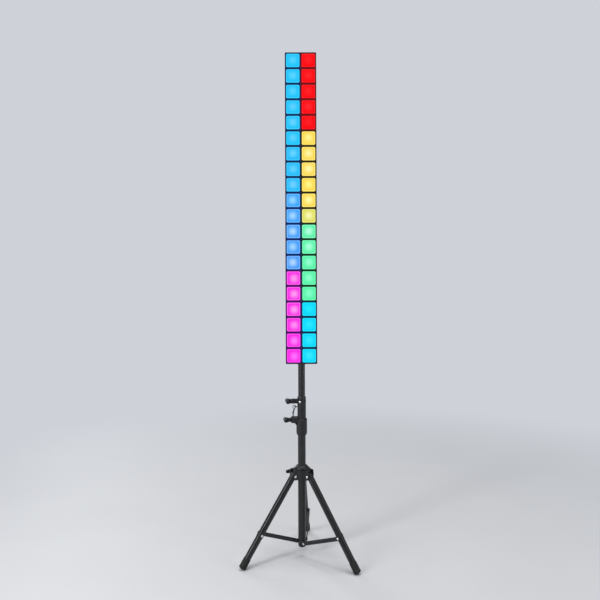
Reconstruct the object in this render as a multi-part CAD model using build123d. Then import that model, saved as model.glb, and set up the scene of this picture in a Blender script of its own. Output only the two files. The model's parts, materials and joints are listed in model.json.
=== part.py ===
"""Light bar with two columns of square cells, on a telescopic folding tripod stand.

Frame: millimetres, +Z up, origin on the floor under the column's axis, lit face towards -Y.
Parts that stand around the column are built along +X, then turned to their azimuth.
Every separate physical piece is its own solid; each node is written to parts/NODE.step.
"""
from build123d import *
import os
from functools import reduce
from math import atan2, cos, degrees, hypot, radians, sin

os.makedirs("parts", exist_ok=True)

# ---------------------------------------------------------------- driving dimensions
# telescopic mast: outer radius, bore radius, bottom and top of each tube
COLUMN_R, COLUMN_BORE, COLUMN_Z0, COLUMN_Z1 = 12.7, 12.05, 58.0, 436.0
MID_R, MID_BORE, MID_Z0, MID_Z1 = 11.97, 11.35, 74.0, 499.0
TOP_R, TOP_BORE, TOP_Z0, TOP_Z1 = 11.27, 10.5, 186.0, 700.0
# clamp knobs
STUD_R, STUD_HOLE_R, STUD_GAP = 4.0, 4.15, 0.2
BUSH_HOLE_R = 4.2
COLLAR_KNOB_AZ = 187.0            # both collar knobs point to the left
HUB_KNOB_AZ = 145.0
LOWER_KNOB_Z, UPPER_KNOB_Z, HUB_KNOB_Z, BAR_KNOB_Z = 447.5, 508.0, 272.5, 665.0
# collar rivets
RIVET_R, RIVET_HOLE_R = 1.55, 1.6
# tripod
LEG_AZ = {1: 205.0, 2: 325.0, 3: 85.0}    # front left, front right, rear
PIVOT_X, PIVOT_Z = 30.5, 268.5    # leg pivot on the hub
FLOOR_X = 209.5                   # where a leg's axis meets the floor
CLIP_S = 205.0                    # along the leg, from its pivot to the brace pivot
SPREAD_X, SPREAD_Z = 16.0, 51.0   # brace pivot on the spreader hub

LEG_TILT = degrees(atan2(FLOOR_X - PIVOT_X, PIVOT_Z))    # from vertical
LEG_L = hypot(FLOOR_X - PIVOT_X, PIVOT_Z)
BRACE_RUN = PIVOT_X + CLIP_S * sin(radians(LEG_TILT)) - SPREAD_X
BRACE_RISE = PIVOT_Z - CLIP_S * cos(radians(LEG_TILT)) - SPREAD_Z
BRACE_L = hypot(BRACE_RUN, BRACE_RISE)
BRACE_TILT = degrees(atan2(BRACE_RISE, BRACE_RUN))       # above horizontal

# light bar
PITCH, ROWS = 50.0, 20            # cell pitch both ways, cells in a column
BAR_HALF = 50.5                   # half the bar's width
BAR_Z0, BAR_Z1 = 631.0, 1634.0
BAR_MID = (BAR_Z0 + BAR_Z1) / 2
CAP_T = 3.0
BODY_Z0, BODY_Z1 = BAR_Z0 + CAP_T, BAR_Z1 - CAP_T        # between the end caps
LENS_FRONT, GRID_FRONT, GRID_BACK = -27.0, -25.0, -21.0
BOARD_FRONT, PLATE_FRONT, SHELF_FRONT = -6.2, -4.6, -2.6
BACK = 27.0                       # back of the housing
WALL = 2.2
ROW_Z = [BAR_MID + (ROWS / 2 - 0.5 - k) * PITCH for k in range(ROWS)]    # top to bottom
CELLS = [(side * PITCH / 2, z) for side in (-1, 1) for z in ROW_Z]


# ---------------------------------------------------------------- helpers
def gather(*shapes):
    """One solid, or a compound of all the solids in the shapes."""
    solids = [solid for shape in shapes for solid in shape.solids()]
    if len(solids) == 1:
        return solids[0]
    return Compound(children=[Solid(solid.wrapped) for solid in solids])


def save(name, *shapes):
    node = gather(*shapes)
    node.label = name
    export_step(node, f"parts/{name}.step")


def joined(shapes):
    return reduce(lambda whole, shape: whole + shape, shapes)


def around(azimuths, shape):
    return [Rot(0, 0, az) * shape for az in azimuths]


def cyl(r, z0, z1, x=0, y=0):
    return Pos(x, y, (z0 + z1) / 2) * Cylinder(r, abs(z1 - z0))


def xcyl(r, x0, x1, z=0):
    return Pos((x0 + x1) / 2, 0, z) * Rot(0, 90, 0) * Cylinder(r, x1 - x0)


def ycyl(r, x, y0, y1, z):
    return Pos(x, (y0 + y1) / 2, z) * Rot(90, 0, 0) * Cylinder(r, y1 - y0)


def box(x0, x1, y0, y1, z0, z1):
    size = Box(abs(x1 - x0), y1 - y0, z1 - z0)
    return Pos((x0 + x1) / 2, (y0 + y1) / 2, (z0 + z1) / 2) * size


def tube(r, bore, z0, z1):
    return cyl(r, z0, z1) - cyl(bore, z0 - 1, z1 + 1)


def spun(points):
    """Solid of revolution about Z from an (r, z) outline."""
    return revolve(make_face(Polyline(*[(r, 0, z) for r, z in points], close=True)), Axis.Z)


def round_rect(w, h, r, y0, y1, x=0, z=0):
    """Rounded rectangle in XZ, from y0 to y1 (Plane.XZ faces -Y)."""
    return Pos(x, y0, z) * extrude(Plane.XZ * RectangleRounded(w, h, r), amount=-(y1 - y0))


def rivet(shank_x, seat_x, head_r, head_t, z):
    return xcyl(RIVET_R, shank_x, seat_x, z) + xcyl(head_r, seat_x, seat_x + head_t, z)


def save_knob(name, az, z, stem_x, wing_x0, wing_x1, half_w, thick, stem_r, tube_r):
    """Wing knob with moulded-in stud, the stud's tip just clear of the tube it clamps."""
    upper = [(wing_x0 - 2, 6.0), (wing_x0 + 4, 9.5), (wing_x1 - 9, half_w - 1.5),
             (wing_x1 - 3, half_w), (wing_x1, half_w - 5), (wing_x1 - 3.5, 4.0)]
    outline = upper + [(x, -y) for x, y in reversed(upper)]
    plate = make_face(Polyline(*outline, close=True))
    plate = fillet(plate.vertices(), 2.0)
    wings = extrude(plate, amount=thick / 2, both=True)
    faces = wings.faces().sort_by(Axis.Z)
    wings = fillet(faces[-1].edges() + faces[0].edges(), min(2.6, thick / 2 - 1.2))
    body = wings + xcyl(stem_r, stem_x, wing_x0 + 3)
    body -= xcyl(STUD_R, stem_x - 1, wing_x0 + 2)
    stud = xcyl(STUD_R, tube_r + STUD_GAP, wing_x0 + 2)
    place = Rot(0, 0, az) * Pos(0, 0, z)
    save(name, place * body, place * stud)


# ---------------------------------------------------------------- outer column and spreader
LOWER_RIVET_AZ, LOWER_RIVET_Z = (30.0, 90.0, 140.0), 412.0
LUG_Y0, LUG_Y1, LUG_R = -12.0, -8.2, 6.0
SPREAD_PIN_R, SPREAD_PIN_END = 2.5, -15.5


def column_tube():
    column = tube(COLUMN_R, COLUMN_BORE, COLUMN_Z0, COLUMN_Z1)
    for hole in around(LOWER_RIVET_AZ, xcyl(RIVET_HOLE_R, 10, 20, LOWER_RIVET_Z)):
        column -= hole
    return column


def spreader_pins():
    pin = ycyl(SPREAD_PIN_R, SPREAD_X, SPREAD_PIN_END, LUG_Y1, SPREAD_Z)
    pin += ycyl(3.8, SPREAD_X, SPREAD_PIN_END - 1.4, SPREAD_PIN_END, SPREAD_Z)
    pin += ycyl(3.9, SPREAD_X, LUG_Y1, LUG_Y1 + 1.3, SPREAD_Z)
    return around(LEG_AZ.values(), pin)


def spreader_hub(pins):
    plug_top = 72
    hub = spun([(0, 34), (8.4, 34), (11.6, 36), (12.7, 40), (COLUMN_R, COLUMN_Z0),
                (COLUMN_BORE, COLUMN_Z0), (COLUMN_BORE, plug_top), (0, plug_top)])
    lug = box(-2, SPREAD_X, LUG_Y0, LUG_Y1, SPREAD_Z - LUG_R, SPREAD_Z + LUG_R)
    lug += ycyl(LUG_R, SPREAD_X, LUG_Y0, LUG_Y1, SPREAD_Z)
    lug -= ycyl(SPREAD_PIN_R, SPREAD_X, -20, 0, SPREAD_Z)
    hub += joined(around(LEG_AZ.values(), lug))
    for pin in pins:
        hub -= pin
    return hub


save("column_tube", column_tube())
pins = spreader_pins()
save("spreader_hub", spreader_hub(pins))
save("spreader_pins", *pins)

# ---------------------------------------------------------------- lower collar
LOWER_Z0, LOWER_Z1, LOWER_R = 397.0, 451.0, 17.5
LOWER_BUSH_Z0 = COLUMN_Z1 + 0.6
LOWER_BORE = 14.05                # above the column, around the bush


def lower_collar():
    """Tapered skirt with a side boss for the clamp screw."""
    bore, step_z = COLUMN_R + 0.05, COLUMN_Z1 + 0.5
    collar = spun([(bore, LOWER_Z0), (14.2, LOWER_Z0), (16.9, LOWER_Z0 + 5),
                   (LOWER_R, LOWER_Z0 + 11), (LOWER_R, LOWER_Z1 - 1.5),
                   (LOWER_R - 1.5, LOWER_Z1), (LOWER_BORE, LOWER_Z1),
                   (LOWER_BORE, step_z), (bore, step_z)])
    gusset = Pos(15.5, 0, LOWER_KNOB_Z - 9.5) * Rot(0, 42, 0) * Box(14, 10, 12)
    boss = Rot(0, 0, COLLAR_KNOB_AZ) * (
        xcyl(11.2, 10, 33.0, LOWER_KNOB_Z) + xcyl(9.4, 33.0, 34.6, LOWER_KNOB_Z) + gusset)
    boss -= cyl(LOWER_BORE, 380, 470)
    boss -= cyl(14.6, LOWER_Z1, 470)
    collar = collar + boss
    collar -= Rot(0, 0, COLLAR_KNOB_AZ) * xcyl(STUD_HOLE_R, 5, 40, LOWER_KNOB_Z)
    for hole in around(LOWER_RIVET_AZ, xcyl(RIVET_HOLE_R, 10, 20, LOWER_RIVET_Z)):
        collar -= hole
    return collar


def lower_bush():
    bore, lip_z = MID_R + 0.08, LOWER_Z1 + 0.6
    bush = spun([(bore, LOWER_BUSH_Z0), (14.0, LOWER_BUSH_Z0), (14.0, LOWER_Z1 - 0.2),
                 (13.4, lip_z), (bore, lip_z)])
    return bush - Rot(0, 0, COLLAR_KNOB_AZ) * xcyl(BUSH_HOLE_R, 5, 40, LOWER_KNOB_Z)


save("lower_collar", lower_collar())
save("lower_bush", lower_bush())
save("lower_collar_rivets",
     *around(LOWER_RIVET_AZ, rivet(12.1, LOWER_R, head_r=3.0, head_t=0.9, z=LOWER_RIVET_Z)))
save_knob("lower_clamp_knob", COLLAR_KNOB_AZ, LOWER_KNOB_Z, stem_x=34.8, wing_x0=39.0,
          wing_x1=59.5, half_w=20.5, thick=13.4, stem_r=7.4, tube_r=MID_R)

# ---------------------------------------------------------------- leg hub, slides on the column
HUB_Z0, HUB_Z1 = 252.0, 288.0
HUB_BORE = COLUMN_R + 0.1
EAR_HALF, SLOT_HALF = 14.9, 10.9
HUB_PIN_R = 3.0
# side outline of the ears, (x, z)
EAR = [(14, 262), (22, 257.5), (30, 256.5), (34.6, 259.5), (36.6, 266), (36.4, 276),
       (35.4, 284.5), (33.4, 287.2), (28.0, 288), (14, 288)]
# section of the cap outside its bore, (r, z)
HUB_CAP = [(24.0, HUB_Z1), (23.8, 290.2), (22.7, 293.0), (20.8, 295.6), (18.4, 297.9),
           (16.0, 299.8), (14.0, 301.0)]


def leg_hub():
    hub = cyl(27.2, 258, HUB_Z1) + cyl(17.5, HUB_Z0, 258) + cyl(28.6, 283.4, HUB_Z1)
    ear_face = Plane.XZ * make_face(Polyline(*EAR, close=True))
    for ears in around(LEG_AZ.values(), extrude(ear_face, amount=EAR_HALF, both=True)):
        hub += ears
    slot = box(19.2, 60, -SLOT_HALF, SLOT_HALF, 200, 281.2)
    slot += box(29.4, 60, -SLOT_HALF, SLOT_HALF, 280, 300)
    pin_hole = ycyl(HUB_PIN_R, PIVOT_X, -30, 30, PIVOT_Z)
    for az in LEG_AZ.values():
        hub -= Rot(0, 0, az) * slot
        hub -= Rot(0, 0, az) * pin_hole
    hub += Rot(0, 0, HUB_KNOB_AZ) * xcyl(8.5, 20, 32.5, HUB_KNOB_Z)
    hub -= Rot(0, 0, HUB_KNOB_AZ) * xcyl(STUD_HOLE_R, 5, 60, HUB_KNOB_Z)
    return hub - cyl(HUB_BORE, 200, 320)


def hub_pivot_pins():
    pin = ycyl(HUB_PIN_R, PIVOT_X, -EAR_HALF, EAR_HALF, PIVOT_Z)
    pin += ycyl(3.9, PIVOT_X, EAR_HALF, EAR_HALF + 1.8, PIVOT_Z)
    pin += ycyl(3.9, PIVOT_X, -EAR_HALF - 1.8, -EAR_HALF, PIVOT_Z)
    return around(LEG_AZ.values(), pin)


save("leg_hub", leg_hub())
save("hub_cap", spun([(HUB_BORE, HUB_Z1), *HUB_CAP, (HUB_BORE, HUB_CAP[-1][1])]))
save("hub_pivot_pins", *hub_pivot_pins())
save_knob("hub_lock_knob", HUB_KNOB_AZ, HUB_KNOB_Z, stem_x=32.8, wing_x0=36.5,
          wing_x1=55.0, half_w=18.0, thick=11.0, stem_r=6.8, tube_r=COLUMN_R)

# ---------------------------------------------------------------- legs, hanging along -Z from 0
LEG_R, LEG_BORE = 10.5, 9.3
HEAD_Z0 = -16                     # bottom of the head, top of the tube
CLIP_Z = -CLIP_S
CLIP_BOLT_R = 3.0
LEG_END = -(LEG_L - 4.0)          # closed end of the foot
PLUG_Z = LEG_END + 6.0            # bottom of the tube, inside the foot
FOOT_R, FOOT_ROUND = 11.8, 6.0    # outer radius, rounding of the end


def leg_head():
    head = cyl(LEG_R, HEAD_Z0, 12) & (
        ycyl(LEG_R, 0, -20, 20, 0) + box(-20, 20, -20, 20, HEAD_Z0, 0))
    head += cyl(LEG_BORE - 0.05, -38, HEAD_Z0)
    return head - ycyl(3.08, 0, -20, 20, 0)


def leg_tube():
    return tube(LEG_R, LEG_BORE, PLUG_Z, HEAD_Z0) - ycyl(CLIP_BOLT_R, 0, -20, 20, CLIP_Z)


def leg_clip():
    """Band with a tab on its outer side, and its cross bolt."""
    clip = tube(LEG_R + 0.8, LEG_R, CLIP_Z - 8, CLIP_Z + 8)
    clip += box(9, 12.6, -3, 3, CLIP_Z + 2, CLIP_Z + 8)
    clip += ycyl(5.0, 0, -11.9, -10.6, CLIP_Z)
    clip -= cyl(LEG_R, CLIP_Z - 20, CLIP_Z + 20)
    clip -= ycyl(CLIP_BOLT_R, 0, -20, 20, CLIP_Z)
    bolt = ycyl(CLIP_BOLT_R, 0, -11.9, 11.3, CLIP_Z) + ycyl(4.0, 0, 11.2, 13.0, CLIP_Z)
    clip -= bolt
    return clip, bolt


def rubber_foot():
    """Sleeve with a rounded, closed end; the sole is trimmed once the leg is placed."""
    core = FOOT_R - FOOT_ROUND
    end = [(core + FOOT_ROUND * sin(radians(a)), LEG_END + FOOT_ROUND * (1 - cos(radians(a))))
           for a in range(0, 91, 15)]
    top_z = LEG_END + 35
    return spun([(0, LEG_END), *end, (FOOT_R, LEG_END + 32), (FOOT_R - 0.5, top_z),
                 (LEG_R, top_z), (LEG_R, PLUG_Z), (0, PLUG_Z)])


# brace: flat bar along +X from its lower pivot
BRACE_HALF = 6.2
BRACE_IN = -12.2                  # face towards the leg
BRACE_OUT = BRACE_IN - 3.0
BRACE_RIVET_R = 2.5


def brace():
    """Bar with a groove along its outer face, and the rivet at its upper end."""
    bar = box(0, BRACE_L, BRACE_OUT, BRACE_IN, -BRACE_HALF, BRACE_HALF)
    bar += ycyl(BRACE_HALF, 0, BRACE_OUT, BRACE_IN, 0)
    bar += ycyl(BRACE_HALF, BRACE_L, BRACE_OUT, BRACE_IN, 0)
    bar -= box(16, BRACE_L - 18, BRACE_OUT - 1, BRACE_IN - 2.0, -2.4, 2.4)
    bar -= ycyl(2.6, 0, -30, 0, 0)
    bar -= ycyl(BRACE_RIVET_R, BRACE_L, -30, 0, 0)
    pin = ycyl(BRACE_RIVET_R, BRACE_L, BRACE_OUT, BRACE_IN, 0)
    pin += ycyl(3.9, BRACE_L, BRACE_OUT - 1.6, BRACE_OUT, 0)
    return bar, pin


for i, az in LEG_AZ.items():
    lean = Rot(0, 0, az) * Pos(PIVOT_X, 0, PIVOT_Z) * Rot(0, -LEG_TILT, 0)
    rise = Rot(0, 0, az) * Pos(SPREAD_X, 0, SPREAD_Z) * Rot(0, -BRACE_TILT, 0)
    save(f"leg_head_{i}", lean * leg_head())
    save(f"leg_tube_{i}", lean * leg_tube())
    save(f"leg_clip_{i}", *[lean * part for part in leg_clip()])
    save(f"foot_{i}", (lean * rubber_foot()) & box(-400, 400, -400, 400, 0, 100))
    save(f"brace_{i}", *[rise * part for part in brace()])

# ---------------------------------------------------------------- middle section
UPPER_Z0, UPPER_Z1, UPPER_R = 452.5, 520.5, 13.9
UPPER_BUSH_Z0 = MID_Z1 + 0.6
UPPER_TOP = UPPER_Z1 - 0.2
UPPER_BORE = 12.75                # above the middle tube, around the bush
UPPER_RIVET_AZ, UPPER_RIVET_Z = (250.0, 10.0, 130.0), 506.5
LANYARD_AZ = 197.0
EYE_X, EYE_Z0, EYE_Z1 = 20, 489.2, 490.8
LOCK_PIN_X = 29.0


def upper_collar():
    bore = MID_R + 0.02
    collar = spun([(bore, UPPER_Z0), (UPPER_R - 0.8, UPPER_Z0), (UPPER_R, UPPER_Z0 + 1.2),
                   (UPPER_R, UPPER_TOP), (UPPER_BORE, UPPER_TOP),
                   (UPPER_BORE, UPPER_BUSH_Z0), (bore, UPPER_BUSH_Z0)])
    boss = Rot(0, 0, COLLAR_KNOB_AZ) * (
        xcyl(8.0, 10, 22.0, UPPER_KNOB_Z) + xcyl(7.0, 22.0, 23.2, UPPER_KNOB_Z))
    boss -= cyl(UPPER_BORE, 440, 540)
    collar += boss
    # eyelet that carries the lanyard ring
    eye = Rot(0, 0, LANYARD_AZ) * (
        box(12.5, 19.4, -3.6, 3.6, EYE_Z0, EYE_Z1) + cyl(4.7, EYE_Z0, EYE_Z1, EYE_X))
    eye -= Rot(0, 0, LANYARD_AZ) * cyl(3.1, 480, 500, EYE_X)
    eye -= cyl(UPPER_BORE, 440, 540)
    collar += eye
    collar -= Rot(0, 0, COLLAR_KNOB_AZ) * xcyl(STUD_HOLE_R, 5, 40, UPPER_KNOB_Z)
    for hole in around(UPPER_RIVET_AZ, xcyl(RIVET_HOLE_R, 5, 20, UPPER_RIVET_Z)):
        collar -= hole
    return collar


def upper_bush():
    bore, rim, lip_z = TOP_R + 0.08, UPPER_R - 0.3, UPPER_Z1 + 1.8
    bush = spun([(bore, UPPER_BUSH_Z0), (12.7, UPPER_BUSH_Z0), (12.7, UPPER_TOP),
                 (rim, UPPER_TOP), (rim, UPPER_Z1 + 0.8), (13.0, lip_z), (bore, lip_z)])
    bush -= Rot(0, 0, COLLAR_KNOB_AZ) * xcyl(BUSH_HOLE_R, 5, 40, UPPER_KNOB_Z)
    for hole in around(UPPER_RIVET_AZ, xcyl(RIVET_HOLE_R, 11.5, 20, UPPER_RIVET_Z)):
        bush -= hole
    return bush


def locking_pin():
    """Pin hung under the upper knob, and the ring in the eyelet."""
    pin = cyl(2.1, 461.5, 470.0, LOCK_PIN_X) + cyl(3.2, 470.0, 473.0, LOCK_PIN_X)
    pin += Pos(LOCK_PIN_X, 0, 461.5) * Sphere(2.1)
    ring = Pos(25.0, 0, 490) * Rot(90, 0, 0) * Torus(5.0, 1.1)
    return around([LANYARD_AZ], pin) + around([LANYARD_AZ], ring)


def pin_lanyard():
    start, end = (25.2, 0, 482.0), (28.7, 0, 473.7)
    run = Vector(*end) - Vector(*start)
    cord = Plane(origin=start, z_dir=run) * cyl(1.3, 0, run.length)
    knot = Pos(25.0, 0, 481.6) * Sphere(2.1)
    return Rot(0, 0, LANYARD_AZ) * (cord + knot)


save("mid_tube", tube(MID_R, MID_BORE, MID_Z0, MID_Z1))
save("upper_collar", upper_collar())
save("upper_bush", upper_bush())
save("upper_collar_rivets",
     *around(UPPER_RIVET_AZ, rivet(11.6, UPPER_R, head_r=3.1, head_t=1.1, z=UPPER_RIVET_Z)))
save_knob("upper_clamp_knob", COLLAR_KNOB_AZ, UPPER_KNOB_Z, stem_x=23.4, wing_x0=33.0,
          wing_x1=53.0, half_w=20.5, thick=15.5, stem_r=8.4, tube_r=TOP_R)
save("locking_pin", *locking_pin())
save("pin_lanyard", pin_lanyard())
save("top_tube", tube(TOP_R, TOP_BORE, TOP_Z0, TOP_Z1))

# ---------------------------------------------------------------- light bar: housing and front
PANEL_Z0, PANEL_Z1, PANEL_W = 722.0, 868.0, 68.0
PANEL_SCREWS = [(side * (PANEL_W / 2 - 4), z)
                for side in (-1, 1) for z in (PANEL_Z0 + 2.5, PANEL_Z1 - 2.5)]
LENS_W, OPENING_W, LENS_CORNER = 43.4, 43.8, 4.8
FLANGE_FRONT, FLANGE_BACK = -20.9, -19.9
# lens colours: (side, first row, row after the last), side -1 is the left column
LENS_RUNS = {
    "lens_cyan": [(-1, 0, 9), (1, 16, 20)],
    "lens_blue": [(-1, 9, 14)],
    "lens_magenta": [(-1, 14, 20)],
    "lens_red": [(1, 0, 5)],
    "lens_yellow": [(1, 5, 11)],
    "lens_green": [(1, 11, 16)],
}


def bar_housing():
    """U-shaped extrusion, open to the front, with shelves for the LED carrier plate."""
    outer = box(-BAR_HALF, BAR_HALF, GRID_BACK, BACK, BODY_Z0, BODY_Z1)
    outer = fillet(outer.edges().filter_by(Axis.Z).group_by(Axis.Y)[-1], 5.0)
    inner_half = BAR_HALF - WALL
    inner = box(-inner_half, inner_half, GRID_BACK - 1, BACK - WALL, BODY_Z0 - 1, BODY_Z1 + 1)
    inner = fillet(inner.edges().filter_by(Axis.Z).group_by(Axis.Y)[-1], 3.0)
    housing = outer - inner
    for side in (-1, 1):
        housing += box(side * 45.0, side * 48.4, SHELF_FRONT, -0.8, BODY_Z0, BODY_Z1)
        for y in (4.0, 10.0, 16.0):         # shallow cooling grooves along the sides
            housing -= box(side * 49.7, side * 51, y - 1.0, y + 1.0, BODY_Z0 - 1, BODY_Z1 + 1)
    window_half = PANEL_W / 2 - 4
    housing -= box(-window_half, window_half, BACK - 6, BACK + 5, PANEL_Z0 + 5, PANEL_Z1 - 5)
    housing -= ycyl(9.2, 0, 20, 40, BAR_KNOB_Z)
    for x, z in PANEL_SCREWS:
        housing -= ycyl(1.25, x, 20, 40, z)
    return housing


def front_grid():
    grid = box(-BAR_HALF, BAR_HALF, GRID_FRONT, GRID_BACK, BODY_Z0, BODY_Z1)
    grid = chamfer(grid.edges().filter_by(Axis.Z).group_by(Axis.Y)[0], 0.8)
    hole = round_rect(OPENING_W, OPENING_W, LENS_CORNER + 0.2, GRID_FRONT - 1, GRID_BACK + 1)
    return grid - [Pos(x, 0, z) * hole for x, z in CELLS]


def cell_lens():
    """Pillow-edged opal cap with a retaining flange."""
    lens = round_rect(LENS_W, LENS_W, LENS_CORNER, LENS_FRONT, FLANGE_FRONT)
    lens = fillet(lens.faces().sort_by(Axis.Y)[0].edges(), 1.8)
    lens += round_rect(46.4, 46.4, 2.0, FLANGE_FRONT, FLANGE_BACK)
    return lens - round_rect(38.8, 38.8, 2.0, -24.4, -15)


save("bar_housing", bar_housing())
save("front_grid", front_grid())
lens = cell_lens()
for name, runs in LENS_RUNS.items():
    save(name, *[Pos(side * PITCH / 2, 0, ROW_Z[k]) * lens
                 for side, first, stop in runs for k in range(first, stop)])

# ---------------------------------------------------------------- light bar: inside
DECK_HALF = 47.6
NOTCH_HALF, NOTCH_TOP = 16.2, 708     # boards and baffle are notched over the pole socket


def cell_baffle():
    """White egg-crate between the boards and the lenses."""
    baffle = box(-48.0, 48.0, -19.8, BOARD_FRONT, BODY_Z0 + 1, BODY_Z1 - 1)
    hole = box(-23.3, 23.3, -21, -5, -23.3, 23.3)
    baffle -= [Pos(x, 0, z) * hole for x, z in CELLS]
    return baffle - box(-NOTCH_HALF, NOTCH_HALF, -15.7, 20, 600, NOTCH_TOP)


def led_boards():
    """Upper and lower board on their carrier plate."""
    z0, z1 = BODY_Z0 + 1.5, BODY_Z1 - 1.5
    upper = box(-DECK_HALF, DECK_HALF, BOARD_FRONT, PLATE_FRONT, BAR_MID + 0.4, z1)
    lower = box(-DECK_HALF, DECK_HALF, BOARD_FRONT, PLATE_FRONT, z0, BAR_MID - 0.4)
    plate = box(-DECK_HALF, DECK_HALF, PLATE_FRONT, SHELF_FRONT, z0, z1)
    notch = box(-NOTCH_HALF, NOTCH_HALF, -20, 20, 600, NOTCH_TOP)
    return gather(upper, lower, plate) - notch


def battery_pack():
    """Two columns of four cells, the block between them and the tray."""
    cell_x, cell_l, step, z0 = 9.6, 65, 66.5, 1000
    pack = joined(cyl(9.2, z0 + k * step, z0 + k * step + cell_l, side * cell_x, 12.6)
                  for side in (-1, 1) for k in range(4))
    pack += box(-cell_x, cell_x, 5.5, 19.7, z0, z0 + 3 * step + cell_l)
    return pack + box(-24, 24, 2.0, 4.0, 990, 1275)


def control_board():
    """Board with three block components and a round one on its front."""
    front = 12.0
    return (box(-30, 30, front, front + 1.6, 728, 862),
            box(-22, -6, 9.6, front, 800, 816),
            box(2, 12, 10.4, front, 804, 814),
            box(-4, 10, 3.0, front, 742, 756),
            ycyl(5.0, 18, 1.0, front, 830))


save("cell_baffle", cell_baffle())
save("led_boards", led_boards())
save("led_chips", *[Pos(x, BOARD_FRONT - 0.9, z) * Box(5.0, 1.8, 5.0) for x, z in CELLS])
save("battery_pack", battery_pack())
save("control_board", *control_board())

# ---------------------------------------------------------------- end caps and pole socket
CAP_SCREWS = [(-42.5, 3.6), (42.5, 3.6), (-42.5, 20.0), (42.5, 20.0)]             # (x, y)
SOCKET_SCREWS = [(-18.5, 8.0), (18.5, 8.0), (-18.5, 18.0), (18.5, 18.0)]
PLUG_H = 7
HEAD_DEPTH, RECESS_R = 1.6, 2.9       # screw head recess in a cap


def cap_plate():
    """Cap lying on Z = 0, chamfered around its top."""
    outline = RectangleRounded(2 * BAR_HALF, BACK - GRID_FRONT, 3.0)
    plate = Pos(0, (BACK + GRID_FRONT) / 2, 0) * extrude(outline, amount=CAP_T)
    return chamfer(plate.faces().sort_by(Axis.Z)[-1].edges(), 0.8)


def cap_plug():
    """Rim that enters the housing, hanging below Z = 0."""
    plug = box(-47.4, 47.4, 0.2, BACK - WALL - 1.2, -PLUG_H, 0)
    return plug - box(-44, 44, 3.5, BACK - WALL - 4.4, -8, 1)


def add_screw_posts(cap, joint, face, inward):
    """joint: where cap meets housing; face: outer face; inward: +1 up, -1 down."""
    for x, y in CAP_SCREWS:
        cap += cyl(3.6, joint, joint + inward * PLUG_H, x, y)
        cap -= cyl(1.3, joint - 9, joint + 9, x, y)
        cap -= cyl(RECESS_R, face - inward * 3, face + inward * HEAD_DEPTH, x, y)
    return cap


def top_end_cap():
    cap = Pos(0, 0, BODY_Z1) * (cap_plate() + cap_plug())
    return add_screw_posts(cap, BODY_Z1, BAR_Z1, -1)


def bottom_end_cap():
    # the half turn about X mirrors Y, so the plate is moved back first
    turned = Rot(180, 0, 0) * (Pos(0, -(BACK + GRID_FRONT), 0) * cap_plate())
    cap = Pos(0, 0, BODY_Z0) * turned
    cap += Pos(0, 0, BODY_Z0 + PLUG_H) * cap_plug()
    cap = add_screw_posts(cap, BODY_Z0, BAR_Z0, 1)
    cap -= cyl(13.55, BAR_Z0 - 5, BAR_Z0 + 20)
    cap -= box(-25, 25, -30, 30, BODY_Z0, BODY_Z0 + 20)
    for x, y in SOCKET_SCREWS:
        cap -= cyl(1.6, 600, 660, x, y)
        cap -= cyl(RECESS_R, BAR_Z0 - 3, BAR_Z0 + HEAD_DEPTH, x, y)
    return cap


def pole_socket():
    """Slips over the top tube, with a rear boss for the clamp screw."""
    base = BODY_Z0 + 0.1
    socket = cyl(13.5, 628.0, 706.0) + box(-22, 22, -1.5, 22, base, base + 3.5)
    socket += cyl(15.5, base, 648)
    socket += ycyl(8.5, 0, 4, 24.4, BAR_KNOB_Z)
    socket -= cyl(TOP_R + 0.1, 620, TOP_Z1 + 1)
    socket -= ycyl(STUD_HOLE_R, 0, 4, 40, BAR_KNOB_Z)
    socket = socket & box(-40, 40, -15.4, 40, 600, 720)
    for x, y in SOCKET_SCREWS:
        socket -= cyl(1.6, 600, 660, x, y)
    return socket


save("top_end_cap", top_end_cap())
save("bottom_end_cap", bottom_end_cap())
save("pole_socket", pole_socket())
save_knob("bar_clamp_knob", 90.0, BAR_KNOB_Z, stem_x=BACK + 0.4, wing_x0=BACK + 5.5,
          wing_x1=BACK + 25.0, half_w=20.0, thick=12.5, stem_r=7.2, tube_r=TOP_R)

# ---------------------------------------------------------------- rear panel, places as (x, z)
PANEL_FACE = BACK + 1.8
DISPLAY = (0.0, 845.0)
SWITCH, POWER_IN = (-18.0, 787.0), (18.0, 787.0)
DATA_IN, DATA_OUT = (-16.5, 747.0), (16.5, 747.0)
BUTTON_Z = 818.0
BUTTON_X = {"mode_button": -21.0, "up_button": -7.0, "down_button": 7.0, "enter_button": 21.0}


def rear_panel():
    panel = round_rect(PANEL_W, PANEL_Z1 - PANEL_Z0, 3.0, BACK, PANEL_FACE,
                       0, (PANEL_Z0 + PANEL_Z1) / 2)
    panel -= round_rect(38, 18, 1.5, 20, 35, *DISPLAY)
    for x in BUTTON_X.values():
        panel -= ycyl(4.3, x, 20, 35, BUTTON_Z)
    x, z = SWITCH
    panel -= box(x - 6.6, x + 6.6, 20, 35, z - 9.7, z + 9.7)
    round_holes = [(5.6, POWER_IN), (10.2, DATA_IN), (10.2, DATA_OUT)]
    for r, (x, z) in round_holes + [(1.6, place) for place in PANEL_SCREWS]:
        panel -= ycyl(r, x, 20, 35, z)
    return panel


def display_window():
    window = round_rect(37.8, 17.8, 1.4, BACK - 1.0, BACK + 1.4, *DISPLAY)
    return window + round_rect(42, 22, 1.5, BACK - 2.6, BACK - 1.0, *DISPLAY)


def button(x):
    cap = ycyl(4.1, x, BACK - 3.0, BACK + 3.6, BUTTON_Z)
    cap = chamfer(cap.faces().sort_by(Axis.Y)[-1].edges(), 0.6)
    return cap + (ycyl(5.6, x, BACK - 1.7, BACK - 0.2, BUTTON_Z)
                  ) + ycyl(1.5, x, BACK - 11.5, BACK - 3.0, BUTTON_Z)


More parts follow.
